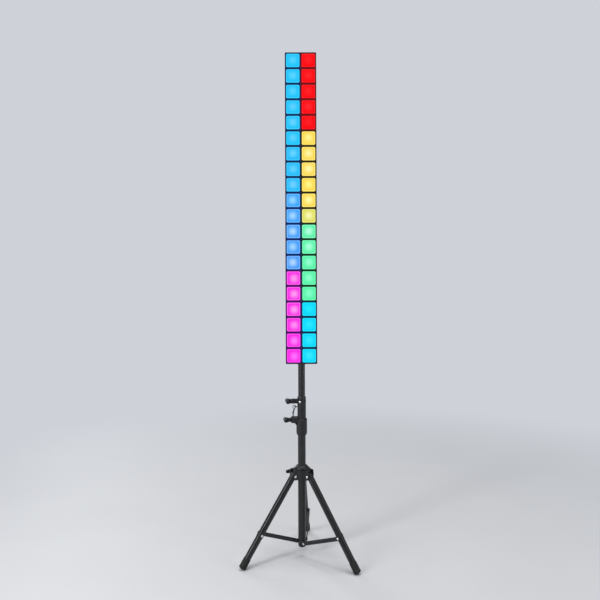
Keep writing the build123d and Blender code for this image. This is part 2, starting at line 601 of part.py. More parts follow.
def power_switch():
    """Wedge-faced rocker on a cross pivot."""
    x, z = SWITCH
    # side outline, (y from the housing's back, z from the centre)
    outline = [(-7.0, -4.5), (-2.0, -7.9), (4.4, -7.9), (2.2, 0), (2.4, 7.9), (-2.0, 7.9),
               (-7.0, 4.5)]
    points = [(BACK + dy, z + dz) for dy, dz in outline]
    side_face = Plane.YZ * make_face(Polyline(*points, close=True))
    rocker = Pos(x, 0, 0) * extrude(side_face, amount=5.0, both=True)
    rocker = fillet(rocker.edges().filter_by(Axis.X), 0.5)
    return rocker + Pos(0, BACK - 2.0, 0) * xcyl(1.2, x - 5.2, x + 5.2, z)


def switch_frame():
    x, z = SWITCH
    frame = round_rect(15.6, 21.8, 1.2, PANEL_FACE, PANEL_FACE + 1.0, x, z)
    frame += box(x - 6.4, x + 6.4, BACK - 9.9, PANEL_FACE, z - 9.5, z + 9.5)
    frame -= box(x - 5.3, x + 5.3, BACK - 8.9, BACK + 9, z - 8.9, z + 8.9)
    return frame & box(-60, 60, 13.7, 60, 700, 900)


def power_inlet():
    x, z = POWER_IN
    inlet = ycyl(5.5, x, BACK - 11, PANEL_FACE, z) + ycyl(7.2, x, PANEL_FACE, BACK + 3.4, z)
    inlet -= ycyl(3.2, x, BACK - 7.5, BACK + 9, z)
    return inlet + ycyl(1.0, x, BACK - 7.5, BACK + 1.5, z)


def data_shell(x, z):
    flange = round_rect(25.4, 30.4, 3.0, PANEL_FACE, PANEL_FACE + 1.8, x, z)
    return flange + ycyl(10.0, x, BACK - 12.5, PANEL_FACE, z)


def three_pins(r, y0, y1, x, z):
    return [ycyl(r, x + 4.6 * cos(radians(a)), y0, y1, z + 4.6 * sin(radians(a)))
            for a in (30, 150, 270)]


def data_in():
    x, z = DATA_IN
    plug = data_shell(x, z) - ycyl(8.6, x, BACK - 10.5, BACK + 9, z)
    for pin in three_pins(1.2, BACK - 10.5, BACK + 0.5, x, z):
        plug += pin
    return plug


def data_out():
    x, z = DATA_OUT
    ring_gap = ycyl(8.6, x, BACK - 1.0, BACK + 9, z) - ycyl(7.6, x, BACK - 1.0, BACK + 2.8, z)
    socket = data_shell(x, z) - ring_gap
    for hole in three_pins(1.3, BACK - 8, BACK + 9, x, z):
        socket -= hole
    return socket


save("rear_panel", rear_panel())
save("display_window", display_window())
for name, x in BUTTON_X.items():
    save(name, button(x))
save("power_switch", power_switch())
save("io_sockets", switch_frame(), power_inlet(), data_in(), data_out())


# ---------------------------------------------------------------- slotted screws of the bar
def cap_screw(x, y, face, inward, tip):
    seat = face + inward * HEAD_DEPTH
    head = cyl(2.8, face + inward * 0.1, seat, x, y) - Pos(x, y, face) * Box(3.6, 0.8, 1.4)
    return head + cyl(1.25, seat, tip, x, y)


def panel_screw(x, z):
    face = PANEL_FACE + 1.4
    screw = ycyl(2.8, x, PANEL_FACE, face, z) + ycyl(1.2, x, BACK - 2.0, PANEL_FACE, z)
    return screw - Pos(x, face, z) * Box(3.6, 1.4, 0.8)


save("bar_screws",
     *[cap_screw(x, y, BAR_Z1, -1, BODY_Z1 - 6.5) for x, y in CAP_SCREWS],
     *[cap_screw(x, y, BAR_Z0, 1, BODY_Z0 + 6.5) for x, y in CAP_SCREWS],
     *[cap_screw(x, y, BAR_Z0, 1, BODY_Z0 + 3.4) for x, y in SOCKET_SCREWS],
     *[panel_screw(x, z) for x, z in PANEL_SCREWS])
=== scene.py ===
# A vertical two-column LED light bar on a folding tripod stand.
# The column stands on the world Z axis with the floor at z = 0. The lit cells face -Y, towards
# the camera, the keys are on the +Y side, and the legs spread at the azimuths in LEG_AZIMUTH.
# Lengths are in millimetres and are scaled by MM where they become vertices. Noise scales,
# shader distances, lights and the camera are in metres.
import bpy, bmesh, json, math
from mathutils import Vector, Matrix, Euler

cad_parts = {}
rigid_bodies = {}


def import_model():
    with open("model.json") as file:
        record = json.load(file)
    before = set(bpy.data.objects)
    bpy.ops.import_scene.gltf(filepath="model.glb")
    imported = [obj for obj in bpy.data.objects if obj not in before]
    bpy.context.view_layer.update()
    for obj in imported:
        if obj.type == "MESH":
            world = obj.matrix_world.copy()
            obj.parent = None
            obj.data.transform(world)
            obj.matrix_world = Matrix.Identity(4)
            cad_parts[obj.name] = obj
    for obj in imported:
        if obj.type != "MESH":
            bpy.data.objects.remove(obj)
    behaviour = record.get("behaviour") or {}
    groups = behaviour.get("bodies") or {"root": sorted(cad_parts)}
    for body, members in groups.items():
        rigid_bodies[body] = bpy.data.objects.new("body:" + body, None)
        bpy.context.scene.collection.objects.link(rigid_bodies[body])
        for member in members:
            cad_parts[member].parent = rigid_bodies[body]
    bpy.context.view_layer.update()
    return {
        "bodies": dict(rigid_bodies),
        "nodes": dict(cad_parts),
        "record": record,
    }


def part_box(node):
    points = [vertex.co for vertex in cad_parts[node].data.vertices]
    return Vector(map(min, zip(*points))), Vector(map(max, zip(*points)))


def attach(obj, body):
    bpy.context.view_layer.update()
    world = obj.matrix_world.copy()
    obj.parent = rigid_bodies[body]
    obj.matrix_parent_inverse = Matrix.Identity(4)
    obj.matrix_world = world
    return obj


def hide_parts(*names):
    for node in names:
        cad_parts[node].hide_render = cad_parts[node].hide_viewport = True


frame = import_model()
NODES = frame["nodes"]
BODIES = frame["bodies"]
SLOT_OF = {part["node"]: part["material_slot"] for part in frame["record"]["subparts"]}
scene = bpy.context.scene
MM = 0.001

CELL = 50.0                                  # pitch of the lit cells, both ways
ROWS = 20
grid_low, grid_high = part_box("front_grid")
BAR_MID_Z = (grid_low.z + grid_high.z) / 2   # metres
BAR_TOP_Z = BAR_MID_Z + ROWS / 2 * CELL * MM

LEG_AZIMUTH = {1: 205.0, 2: 325.0, 3: 85.0}  # front left, front right, back
PIVOT_R, PIVOT_Z, FOOT_R = 30.5, 268.5, 209.5
LEG_TILT = math.atan2(FOOT_R - PIVOT_R, PIVOT_Z)
LEG_LENGTH = math.hypot(FOOT_R - PIVOT_R, PIVOT_Z)


def horizontal_axes(azimuth):
    """unit vectors outwards and sideways at an azimuth in degrees"""
    a = math.radians(azimuth)
    return Vector((math.cos(a), math.sin(a), 0)), Vector((-math.sin(a), math.cos(a), 0))


# ------------------------------------------------------------------ material graph
class Graph:
    """a new material with a Principled shader, and short ways to add nodes to it"""

    def __init__(self, name):
        self.material = bpy.data.materials.new(name)
        self.material.use_nodes = True
        self.tree = self.material.node_tree
        self.tree.nodes.clear()
        self.output = self.node("ShaderNodeOutputMaterial")
        self.shader = self.node("ShaderNodeBsdfPrincipled")
        self.put(self.output, 0, self.shader.outputs[0])

    def node(self, kind, inputs=None, **settings):
        node = self.tree.nodes.new(kind)
        for key, value in settings.items():
            setattr(node, key, value)
        for key, value in (inputs or {}).items():
            self.put(node, key, value)
        return node

    def put(self, node, key, value):
        if isinstance(value, bpy.types.NodeSocket):
            self.tree.links.new(value, node.inputs[key])
        else:
            node.inputs[key].default_value = value

    def shade(self, inputs):
        for key, value in inputs.items():
            self.put(self.shader, key, value)

    def math(self, operation, *values, clamp=False):
        return self.node("ShaderNodeMath", dict(enumerate(values)),
                         operation=operation, use_clamp=clamp).outputs[0]

    def times(self, first, *factors, clamp=False):
        """product of all factors; only the last step is clamped"""
        for factor in factors[:-1]:
            first = self.math("MULTIPLY", first, factor)
        return self.math("MULTIPLY", first, factors[-1], clamp=clamp)

    def add(self, base, mask, gain):
        """base + mask * gain"""
        return self.math("MULTIPLY_ADD", mask, gain, base)

    def swing(self, centre, noise, span):
        """centre, moved by noise over a range as wide as span"""
        if isinstance(centre, bpy.types.NodeSocket):
            return self.add(self.math("SUBTRACT", centre, span / 2), noise, span)
        return self.add(centre - span / 2, noise, span)

    def ramp(self, value, start, end, low=0.0, high=1.0, kind="SMOOTHSTEP"):
        """low at start, high at end"""
        return self.node("ShaderNodeMapRange", {0: value, 1: start, 2: end, 3: low, 4: high},
                         interpolation_type=kind).outputs[0]

    def mix(self, mask, first, second):
        first, second = ((*c, 1) if isinstance(c, tuple) else c for c in (first, second))
        return self.node("ShaderNodeMix", {0: mask, 6: first, 7: second},
                         data_type="RGBA").outputs[2]

    def noise(self, place, scale, detail, rough=0.5):
        return self.node("ShaderNodeTexNoise", {"Vector": place, "Scale": scale, "Detail": detail,
                                                "Roughness": rough}).outputs["Fac"]

    def coords(self):
        return self.node("ShaderNodeTexCoord").outputs["Object"]

    def stretched(self, place, scale, turn=(0, 0, 0)):
        return self.node("ShaderNodeMapping",
                         {0: place, "Scale": scale, "Rotation": turn}).outputs[0]

    def split(self, vector):
        return self.node("ShaderNodeSeparateXYZ", {0: vector}).outputs

    def geometry_normal(self):
        return self.node("ShaderNodeNewGeometry").outputs["Normal"]

    def bump(self, height, strength, distance, **inputs):
        inputs.update(Strength=strength, Distance=distance, Height=height)
        self.shade({"Normal": self.node("ShaderNodeBump", inputs).outputs[0]})


def linear(rgb):
    """linear colour from 8-bit sRGB"""
    return tuple((v / 255 / 12.92) if v / 255 <= 0.04045 else ((v / 255 + 0.055) / 1.055) ** 2.4
                 for v in rgb)


def tint(colour, factor):
    return tuple(min(1, c * factor) for c in colour)


def surface(name, base, rough, vary, grain, mottle, edge=0.0, edge_col=(0.3, 0.3, 0.31),
            round_mm=0.35, metallic=0.0, scratch=0.0, coat=0.0, brush=None, dust=0.0, spec=0.5):
    """general finish
    vary: colour drift; mottle: its noise scale; grain: noise scale and height of the fine bump
    edge, scratch, dust: how strongly each shows; edge_col: colour of edges (partly wear, partly
    painted highlight) and of scratches
    round_mm: apparent edge radius; brush: noise scale along x, y, z of a brushed finish"""
    g = Graph(name)
    place = g.coords()
    grain_scale, grain_height = grain
    drift = g.noise(place, scale=mottle, detail=5.0, rough=0.6)
    fine = g.noise(place, scale=grain_scale, detail=3.0, rough=0.6)
    colour = g.mix(g.ramp(drift, 0.3, 0.72), tint(base, 1 - vary), tint(base, 1 + vary))
    roughness = g.swing(g.swing(rough, drift, span=0.22), fine, span=0.10)
    height = g.times(fine, grain_height)
    rounded = g.node("ShaderNodeBevel", {"Radius": round_mm * MM}, samples=4).outputs[0]
    if scratch > 0:
        lines = g.stretched(place, scale=(900, 900, 30), turn=(0.35, 0.2, 0.6))
        lines = g.ramp(g.noise(lines, scale=1.0, detail=2.0), 0.70, 0.78)
        patches = g.ramp(g.noise(place, scale=22.0, detail=2.0), 0.52, 0.66)
        lines = g.times(lines, patches, scratch, clamp=True)
        colour = g.mix(lines, colour, edge_col)
        roughness = g.add(roughness, lines, gain=-0.12)
        height = g.add(height, lines, gain=-0.25)
    if brush:
        strokes = g.noise(g.stretched(place, scale=brush), scale=1.0, detail=3.0, rough=0.6)
        roughness = g.swing(roughness, strokes, span=0.2)
        height = g.add(height, strokes, gain=0.12)
        colour = g.mix(g.times(strokes, 0.35), colour, tint(base, 1.35))
    if edge > 0:
        # the rounded normal leaves the true one only near an edge
        turned = g.node("ShaderNodeVectorMath", {0: rounded, 1: g.geometry_normal()},
                        operation="DOT_PRODUCT").outputs["Value"]
        near_edge = g.ramp(turned, 0.999, 0.90)
        chips = g.ramp(g.noise(place, scale=240.0, detail=4.0, rough=0.65), 0.42, 0.62)
        # edge colour: partly chipped wear, partly a painted highlight along the edges
        wear_and_painted_highlight = g.times(near_edge, chips, edge, clamp=True)
        colour = g.mix(wear_and_painted_highlight, colour, edge_col)
        roughness = g.add(roughness, wear_and_painted_highlight, gain=-0.1)
    if dust > 0:
        upward = g.ramp(g.split(g.geometry_normal())[2], 0.35, 0.98)
        patches = g.ramp(g.noise(place, scale=130.0, detail=4.0, rough=0.6), 0.35, 0.75)
        settled = g.times(upward, patches, dust)
        colour = g.mix(settled, colour, (0.32, 0.31, 0.30))
        roughness = g.add(roughness, settled, gain=0.3)
    roughness = g.math("MAXIMUM", g.math("MINIMUM", roughness, 1.0), 0.04)
    g.shade({"Base Color": colour, "Roughness": roughness, "Metallic": metallic,
             "Specular IOR Level": spec, "Coat Weight": coat, "Coat Roughness": 0.12})
    g.bump(height, strength=0.35, distance=0.0004, Normal=rounded)
    return g


# material slot: its finish
FINISHES = {
    "black_tube": dict(
        name="tube_paint", base=(0.010, 0.010, 0.012), rough=0.31, vary=0.3, grain=(900, 0.05),
        mottle=35, edge=0.35, edge_col=(0.14, 0.14, 0.15), round_mm=0.3, scratch=0.35, coat=0.12,
        dust=0.03, spec=0.38),
    "black_powder_coat": dict(
        name="powder_coat", base=(0.011, 0.011, 0.013), rough=0.58, vary=0.28, grain=(2600, 0.4),
        mottle=30, edge=0.3, edge_col=(0.13, 0.13, 0.14), round_mm=0.5, scratch=0.25, dust=0.02,
        spec=0.30),
    "black_nylon": dict(
        name="moulded_nylon", base=(0.012, 0.012, 0.014), rough=0.44, vary=0.28,
        grain=(1500, 0.3), mottle=55, edge=0.3, edge_col=(0.08, 0.08, 0.09), round_mm=0.6,
        dust=0.05, spec=0.38),
    "knob_plastic": dict(
        name="knob_plastic", base=(0.010, 0.010, 0.012), rough=0.42, vary=0.25,
        grain=(1400, 0.2), mottle=60, edge=0.2, edge_col=(0.06, 0.06, 0.07), round_mm=0.8,
        spec=0.36),
    "bush_plastic": dict(
        name="acetal_bush", base=(0.05, 0.05, 0.055), rough=0.4, vary=0.2, grain=(1300, 0.2),
        mottle=70, edge=0.2, edge_col=(0.15, 0.15, 0.16), round_mm=0.4),
    "rubber": dict(
        name="foot_rubber", base=(0.014, 0.014, 0.014), rough=0.68, vary=0.35, grain=(1100, 0.5),
        mottle=90, edge=0.35, edge_col=(0.07, 0.068, 0.065), round_mm=0.7, dust=0.14, spec=0.3),
    "black_steel": dict(
        name="strip_paint", base=(0.014, 0.014, 0.016), rough=0.36, vary=0.28,
        grain=(1300, 0.12), mottle=60, edge=0.5, edge_col=(0.26, 0.26, 0.27), round_mm=0.3,
        scratch=0.45, dust=0.04, spec=0.4),
    "bright_steel": dict(
        name="plated_steel", base=(0.62, 0.63, 0.65), rough=0.24, vary=0.12, grain=(1500, 0.05),
        mottle=120, edge=0.3, edge_col=(0.8, 0.8, 0.82), round_mm=0.3, metallic=1.0,
        brush=(700, 700, 60)),
    "dark_screw": dict(
        name="oxide_steel", base=(0.10, 0.10, 0.11), rough=0.34, vary=0.2, grain=(1500, 0.1),
        mottle=150, edge=0.5, edge_col=(0.4, 0.4, 0.42), round_mm=0.2, metallic=0.9),
    "cast_socket": dict(
        name="cast_socket", base=(0.05, 0.05, 0.055), rough=0.45, vary=0.2, grain=(1500, 0.4),
        mottle=90, edge=0.4, edge_col=(0.28, 0.28, 0.29), round_mm=0.5, metallic=0.6),
    "white_baffle": dict(
        name="baffle_white", base=(0.8, 0.8, 0.8), rough=0.5, vary=0.06, grain=(1300, 0.1),
        mottle=60),
    "led_board": dict(
        name="board_white", base=(0.72, 0.74, 0.72), rough=0.35, vary=0.05, grain=(1300, 0.05),
        mottle=60),
    "led_emitter": dict(
        name="emitter_dome", base=(0.85, 0.80, 0.45), rough=0.25, vary=0.05, grain=(1300, 0.05),
        mottle=60),
    "battery_wrap": dict(
        name="cell_wrap", base=(0.03, 0.09, 0.25), rough=0.28, vary=0.15, grain=(1300, 0.05),
        mottle=40, edge=0.1),
    "circuit_board": dict(
        name="board_green", base=(0.02, 0.13, 0.05), rough=0.3, vary=0.2, grain=(1600, 0.15),
        mottle=140, edge=0.1),
    "button_rubber": dict(
        name="key_silicone", base=(0.085, 0.085, 0.09), rough=0.6, vary=0.15, grain=(1500, 0.3),
        mottle=90, edge=0.25, edge_col=(0.2, 0.2, 0.21), round_mm=0.5),
    "rocker_plastic": dict(
        name="rocker_plastic", base=(0.018, 0.018, 0.02), rough=0.22, vary=0.2,
        grain=(1200, 0.05), mottle=80, edge=0.3, edge_col=(0.12, 0.12, 0.13), round_mm=0.4),
    "socket_plastic": dict(
        name="socket_plastic", base=(0.028, 0.028, 0.03), rough=0.42, vary=0.2,
        grain=(1500, 0.25), mottle=80, edge=0.3, edge_col=(0.14, 0.14, 0.15), round_mm=0.4),
}
MAT = {slot: surface(**finish).material for slot, finish in FINISHES.items()}


def cord_material():
    """diagonal bands stand in for the strands of the cord"""
    g = Graph("braided_cord")
    place = g.coords()
    strands = g.node("ShaderNodeTexWave", {"Vector": place, "Scale": 420.0, "Distortion": 1.5},
                     wave_type="BANDS", bands_direction="DIAGONAL").outputs["Fac"]
    fuzz = g.noise(place, scale=900, detail=3)
    g.shade({"Base Color": g.mix(strands, (0.012, 0.012, 0.014), (0.06, 0.06, 0.066)),
             "Roughness": g.swing(0.75, fuzz, span=0.2)})
    g.bump(strands, strength=0.8, distance=0.0004)
    return g.material


def window_material():
    """smoked, glossy cover of the display"""
    g = Graph("smoked_window")
    place = g.coords()
    cloud = g.noise(place, scale=45, detail=4)
    smears = g.noise(place, scale=160, detail=5, rough=0.7)
    g.shade({"Base Color": g.mix(cloud, (0.006, 0.008, 0.011), (0.014, 0.017, 0.022)),
             "Roughness": g.swing(0.10, smears, span=0.16),
             "Coat Weight": 1.0, "Coat Roughness": 0.03})
    g.bump(cloud, strength=0.06, distance=0.0002)
    return g.material


def grid_material():
    """coated front grid, with the light spilled from the cells next to it painted on as a glow"""
    g = surface("grid_coat_painted_spill", base=(0.0035, 0.0035, 0.004), rough=0.66, vary=0.25,
                grain=(2600, 0.3), mottle=30, round_mm=0.4, spec=0.10)
    place = g.coords()
    x, y, z = g.split(place)

    def painted_spill_colour(colour, *changes):
        """painted glow colour from the top down, changing below each (row, next colour)"""
        blend = 0.0022                       # half height of a change
        for row, following in changes:
            border = BAR_TOP_Z - CELL * MM * row
            colour = g.mix(g.ramp(z, border + blend, border - blend), colour, following)
        return colour

    left = painted_spill_colour((0.0, 0.016, 0.085), (9, (0.0, 0.010, 0.115)), (14, (0.060, 0.0, 0.115)))
    right = painted_spill_colour((0.145, 0.0, 0.001), (5, (0.016, 0.012, 0.0)), (11, (0.0, 0.026, 0.005)),
                  (16, (0.0, 0.018, 0.060)))
    # painted glow of the spilled light: strongest on the bars between lit cells, weaker towards
    # the outer rim, none on the sides
    front = g.ramp(y, -0.0236, -0.0246)
    inside_rim = g.ramp(g.math("ABSOLUTE", x), 0.0503, 0.0470)
    uneven = g.swing(1.0, g.noise(place, scale=120.0, detail=3.0, rough=0.6), span=0.5)
    # painted light: the grid glows in the cells' colours although it is no lamp
    g.shade({"Emission Color": g.mix(g.ramp(x, -0.0024, 0.0024), left, right),
             "Emission Strength": g.times(front, g.add(0.45, inside_rim, gain=0.55), uneven)})
    return g.material


MAT["cord"] = cord_material()
MAT["window_glass"] = window_material()
MAT["grid"] = grid_material()

for name, part in NODES.items():
    material = MAT["grid"] if name == "front_grid" else MAT.get(SLOT_OF[name])
    if material is not None:
        part.data.materials.clear()
        part.data.materials.append(material)


# ------------------------------------------------------------------ mesh helpers
def bridge(bm, first, second, mat=0):
    """a band of quads between two closed rings"""
    count = len(first)
    for k in range(count):
        after = (k + 1) % count
        face = bm.faces.new((first[k], first[after], second[after], second[k]))
        face.smooth = True
        face.material_index = mat


def cap(bm, ring, mat=0):
    face = bm.faces.new(ring)
    face.smooth = True
    face.material_index = mat


def skin(bm, rings, mat=0):
    """bridge successive rings and cap both ends"""
    for first, second in zip(rings, rings[1:]):
        bridge(bm, first, second, mat)
    cap(bm, rings[0], mat)
    cap(bm, rings[-1], mat)


def circle(bm, centre, u, v, radius, count):
    angles = [2 * math.pi * k / count for k in range(count)]
    return [bm.verts.new(centre + (u * math.cos(a) + v * math.sin(a)) * (radius * MM))
            for a in angles]


def lathe(bm, origin, axis, profile, count, mat=0):
    """turned piece; profile is (radius, distance along the axis), origin in metres"""
    axis = Vector(axis).normalized()
    u = axis.orthogonal().normalized()
    v = axis.cross(u)
    skin(bm, [circle(bm, Vector(origin) + axis * (along * MM), u, v, radius, count)
              for radius, along in profile], mat)


def sweep(bm, points, radius, count):
    """open tube along points in metres"""
    rings = []
    u = Vector((0.3, 0.9, 0.2)).normalized()
    for k, point in enumerate(points):
        ahead = (points[min(k + 1, len(points) - 1)] - points[max(k - 1, 0)]).normalized()
        u = (u - ahead * u.dot(ahead)).normalized()
        rings.append(circle(bm, point, u, ahead.cross(u), radius, count))
    skin(bm, rings)


def smooth_sharp(bm, degrees=32.0):
    """smooth faces, with edges sharper than the angle kept crisp"""
    for face in bm.faces:
        face.smooth = True
    for edge in bm.edges:
        edge.smooth = not (len(edge.link_faces) == 2
                           and edge.calc_face_angle(0.0) > math.radians(degrees))


def cad_bmesh(node):
    """the CAD node's mesh in world coordinates, welded"""
    bm = bmesh.new()
    bm.from_mesh(NODES[node].data)
    bm.transform(NODES[node].matrix_world)
    bmesh.ops.remove_doubles(bm, verts=bm.verts, dist=0.00001)
    bmesh.ops.recalc_face_normals(bm, faces=bm.faces)
    return bm


def new_object(name, mesh):
    piece = bpy.data.objects.new(name, mesh)
    scene.collection.objects.link(piece)
    return piece


def bake(name, bm, materials=()):
    mesh = bpy.data.meshes.new(name)
    bm.to_mesh(mesh)
    bm.free()
    for material in materials:
        mesh.materials.append(material)
    return mesh


def place_piece(name, mesh, node, body=None):
    """an object that stands in for a CAD node and rides on its body"""
    piece = new_object(name, mesh)
    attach(piece, body or BODY[node])
    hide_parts(node)


def add_piece(name, bm, node, slot, materials=None, sharp=None, pose=None, body=None):
    """close a built bmesh and place it; sharp is the crisp edge angle, pose is applied last"""
    bmesh.ops.recalc_face_normals(bm, faces=bm.faces)
    if sharp is not None:
        smooth_sharp(bm, sharp)
    if pose is not None:
        bm.transform(pose)
    place_piece(name, bake(name, bm, materials or [MAT[slot]]), node, body)


# ------------------------------------------------------------------ lenses
FRONT_Y, INNER_Y = -27.0, -25.4
FLANGE_FRONT, FLANGE_BACK = -20.9, -19.9
FLANGE_HALF = 23.2
# half side of a lens in front of its flange, from the CAD; the tables are drawn for DRAWN_HALF
LENS_HALF = (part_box("lens_red")[1].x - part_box("lens_red")[0].x) / 2 / MM - 1.5
DRAWN_HALF = 22.2
LENS_SCALE = LENS_HALF / DRAWN_HALF
# half side, corner radius, y: from the flange over the rim to the front
LENS_OUTER = [
    (FLANGE_HALF, 2.0, FLANGE_BACK), (FLANGE_HALF, 2.0, FLANGE_FRONT),
    (DRAWN_HALF, 4.9, FLANGE_FRONT), (DRAWN_HALF, 4.9, -24.3), (22.15, 4.9, -24.9),
    (21.9, 4.8, -25.5), (21.45, 4.6, -26.0), (20.8, 4.3, -26.38), (20.0, 4.0, -26.62),
    (18.6, 3.6, -26.76), (18.1, 3.4, -26.80), (17.75, 3.2, -26.62), (17.45, 3.1, -26.62),
    (17.1, 3.0, -26.84), (15.5, 2.6, -26.90), (13.0, 2.6, -26.94), (10.0, 2.5, -26.97),
    (7.0, 2.5, -26.99), (4.0, 2.0, FRONT_Y), (1.8, 1.2, FRONT_Y)]
# half side, corner radius, y: the hollow behind; its corner radii are not scaled
LENS_INNER = [(21.4, 2.6, FLANGE_BACK), (20.6, 2.4, -20.6), (20.2, 2.2, -24.2),
              (19.0, 2.0, -25.0), (12.0, 2.0, -25.3), (4.0, 1.5, INNER_Y)]
CORNERS = [(1, 1), (-1, 1), (-1, -1), (1, -1)]

# 8-bit sRGB at the middle and at the edge of each cell, left and right column, top row first
MIDDLE = {
    "L": [(82, 208, 255), (90, 208, 255), (85, 207, 255), (93, 205, 255), (101, 207, 255),
          (92, 206, 255), (104, 209, 255), (97, 207, 255), (111, 205, 255), (146, 213, 255),
          (162, 213, 255), (177, 219, 255), (160, 211, 255), (175, 214, 255), (255, 154, 234),
          (255, 155, 237), (255, 156, 242), (255, 143, 240), (255, 128, 249), (255, 111, 252)],
    "R": [(255, 26, 33), (255, 31, 39), (255, 30, 38), (255, 36, 44), (255, 26, 36),
          (255, 241, 146), (254, 242, 166), (255, 245, 173), (254, 243, 135), (255, 250, 169),
          (245, 246, 180), (180, 255, 224), (170, 255, 219), (146, 255, 207), (141, 254, 202),
          (132, 255, 198), (30, 230, 255), (36, 230, 255), (46, 230, 254), (51, 231, 255)]}
EDGE = {
    "L": [(20, 200, 255)] * 6 + [(32, 192, 255)] * 3
    + [(62 + 3 * k, 168 - 2 * k, 255) for k in range(5)] + [(255, 40, 235)] * 6,
    "R": [(255, 0, 12)] * 5 + [(255, 222, 84)] * 5 + [(228, 226, 96)]
    + [(92, 246, 172)] * 5 + [(4, 222, 255)] * 4}
COLUMN_X = {"L": -CELL / 2, "R": CELL / 2}
# node: runs of cells as (column, first row, row after the last)
LENSES = {"lens_cyan": [("L", 0, 9), ("R", 16, 20)], "lens_blue": [("L", 9, 14)],
          "lens_magenta": [("L", 14, 20)], "lens_red": [("R", 0, 5)],
          "lens_yellow": [("R", 5, 11)], "lens_green": [("R", 11, 16)]}
# centre of the bright spot in x and z, in half sides
SPOT = {"lens_blue": (-0.08, 0.02), "lens_magenta": (0.10, -0.06)}
USUAL_SPOT = (0, 0.04)


def lens_material():
    """glowing opal lens, coloured by the attributes of each cell"""
    g = Graph("opal_diffuser")

    def attribute(name, output):
        return g.node("ShaderNodeAttribute", attribute_name=name).outputs[output]

    middle, edge = attribute("c_mid", "Color"), attribute("c_edge", "Color")
    across, up, _ = g.split(attribute("cell_uv", "Vector"))
    spot_x, spot_z, inside = g.split(attribute("spot", "Vector"))
    place = g.coords()
    soft = g.noise(place, scale=55.0, detail=3.0)
    fine = g.noise(place, scale=2400.0, detail=2.0, rough=0.6)

    # squarish distance from the bright spot
    squareness = 2.6
    powers = [g.math("POWER", g.math("ABSOLUTE", g.math("SUBTRACT", here, spot)), squareness)
              for here, spot in ((across, spot_x), (up, spot_z))]
    distance = g.math("POWER", g.math("ADD", *powers), 1 / squareness)
    hot = g.times(g.ramp(distance, 0.92, 0.02), g.swing(1.0, soft, span=0.16), clamp=True)

    # bands by distance from the centre, 1 at the edge
    side_x, side_z = g.math("ABSOLUTE", across), g.math("ABSOLUTE", up)
    reach = g.math("MAXIMUM", side_x, side_z)
    rim = g.times(g.ramp(reach, 0.80, 0.85), g.ramp(reach, 0.998, 0.96))
    crease = g.times(g.ramp(reach, 0.755, 0.785), g.ramp(reach, 0.825, 0.795))
    corner = g.times(g.ramp(g.math("MINIMUM", side_x, side_z), 0.70, 0.90), rim)

    colour = g.mix(hot, edge, middle)
    colour = g.mix(g.times(rim, 0.30), colour, middle)
    colour = g.mix(g.times(corner, 0.22), colour, g.mix(0.12, middle, (1.0, 1.0, 1.0)))
    # the rim is a little brighter, the crease inside it a little darker
    glow = g.add(0.93, rim, gain=0.09)
    glow = g.add(glow, crease, gain=-0.17)
    glow = g.add(glow, hot, gain=0.07)
    glow = g.swing(glow, fine, span=0.03)
    # the sides darken towards the grid, and the inner skin gives no light
    glow = g.times(glow, g.ramp(g.split(place)[1], -0.0246, -0.0262, low=0.42),
                   g.ramp(inside, 0.60, 0.40, kind="LINEAR"))
    # a dark base keeps reflections from washing out the light's colour
    g.shade({"Emission Color": colour, "Emission Strength": glow,
             "Base Color": g.mix(0.95, edge, (0.0, 0.0, 0.0)),
             "Specular IOR Level": 0.10, "Roughness": g.swing(0.48, soft, span=0.12)})
    g.bump(fine, strength=0.12, distance=0.0003)
    return g.material


def rounded_square(half, radius, steps=5):
    """counter-clockwise outline in (x, z), with four points along each straight side"""
    def corner_point(quarter, degrees):
        x, z = CORNERS[quarter]
        a = math.radians(degrees)
        return (x * (half - radius) + radius * math.cos(a),
                z * (half - radius) + radius * math.sin(a))

    points = []
    for q in range(4):
        points += [corner_point(q, 90 * q + 90 * k / steps) for k in range(steps + 1)]
        after = (q + 1) % 4
        x0, z0 = points[-1]
        x1, z1 = corner_point(after, 90 * after)
        points += [(x0 * (1 - t) + x1 * t, z0 * (1 - t) + z1 * t) for t in (0.2, 0.4, 0.6, 0.8)]
    return points


def lens_cell(bm, layers, centre_x, centre_z, middle, edge, spot):
    """one hollow lens; spot's third value is 1 on the inner skin"""
    def vertex(x, y, z, inside):
        vert = bm.verts.new(((centre_x + x) * MM, y * MM, (centre_z + z) * MM))
        values = (Vector((x / LENS_HALF, z / LENS_HALF, 0)), (*middle, 1), (*edge, 1),
                  Vector((*spot, inside)))
        for layer, value in zip(layers, values):
            vert[layer] = value
        return vert

    def ring(half, radius, y, inside):
        return [vertex(x, y, z, inside) for x, z in rounded_square(half, radius)]

    outer = []
    for half, radius, y in LENS_OUTER:
        scale = LENS_SCALE if half < FLANGE_HALF else 1.0
        outer.append(ring(half * scale, radius * scale, y, 0.0))
    for first, second in zip(outer, outer[1:]):
        bridge(bm, second, first)
    last, centre = outer[-1], vertex(0, FRONT_Y, 0, 0.0)
    for k in range(len(last)):
        cap(bm, [last[k], centre, last[(k + 1) % len(last)]])

    inner = [outer[0]] + [ring(half * LENS_SCALE, radius, y, 1.0)
                          for half, radius, y in LENS_INNER]
    for first, second in zip(inner, inner[1:]):
        bridge(bm, first, second)
    last, centre = inner[-1], vertex(0, INNER_Y, 0, 1.0)
    for k in range(len(last)):
        cap(bm, [last[k], last[(k + 1) % len(last)], centre])


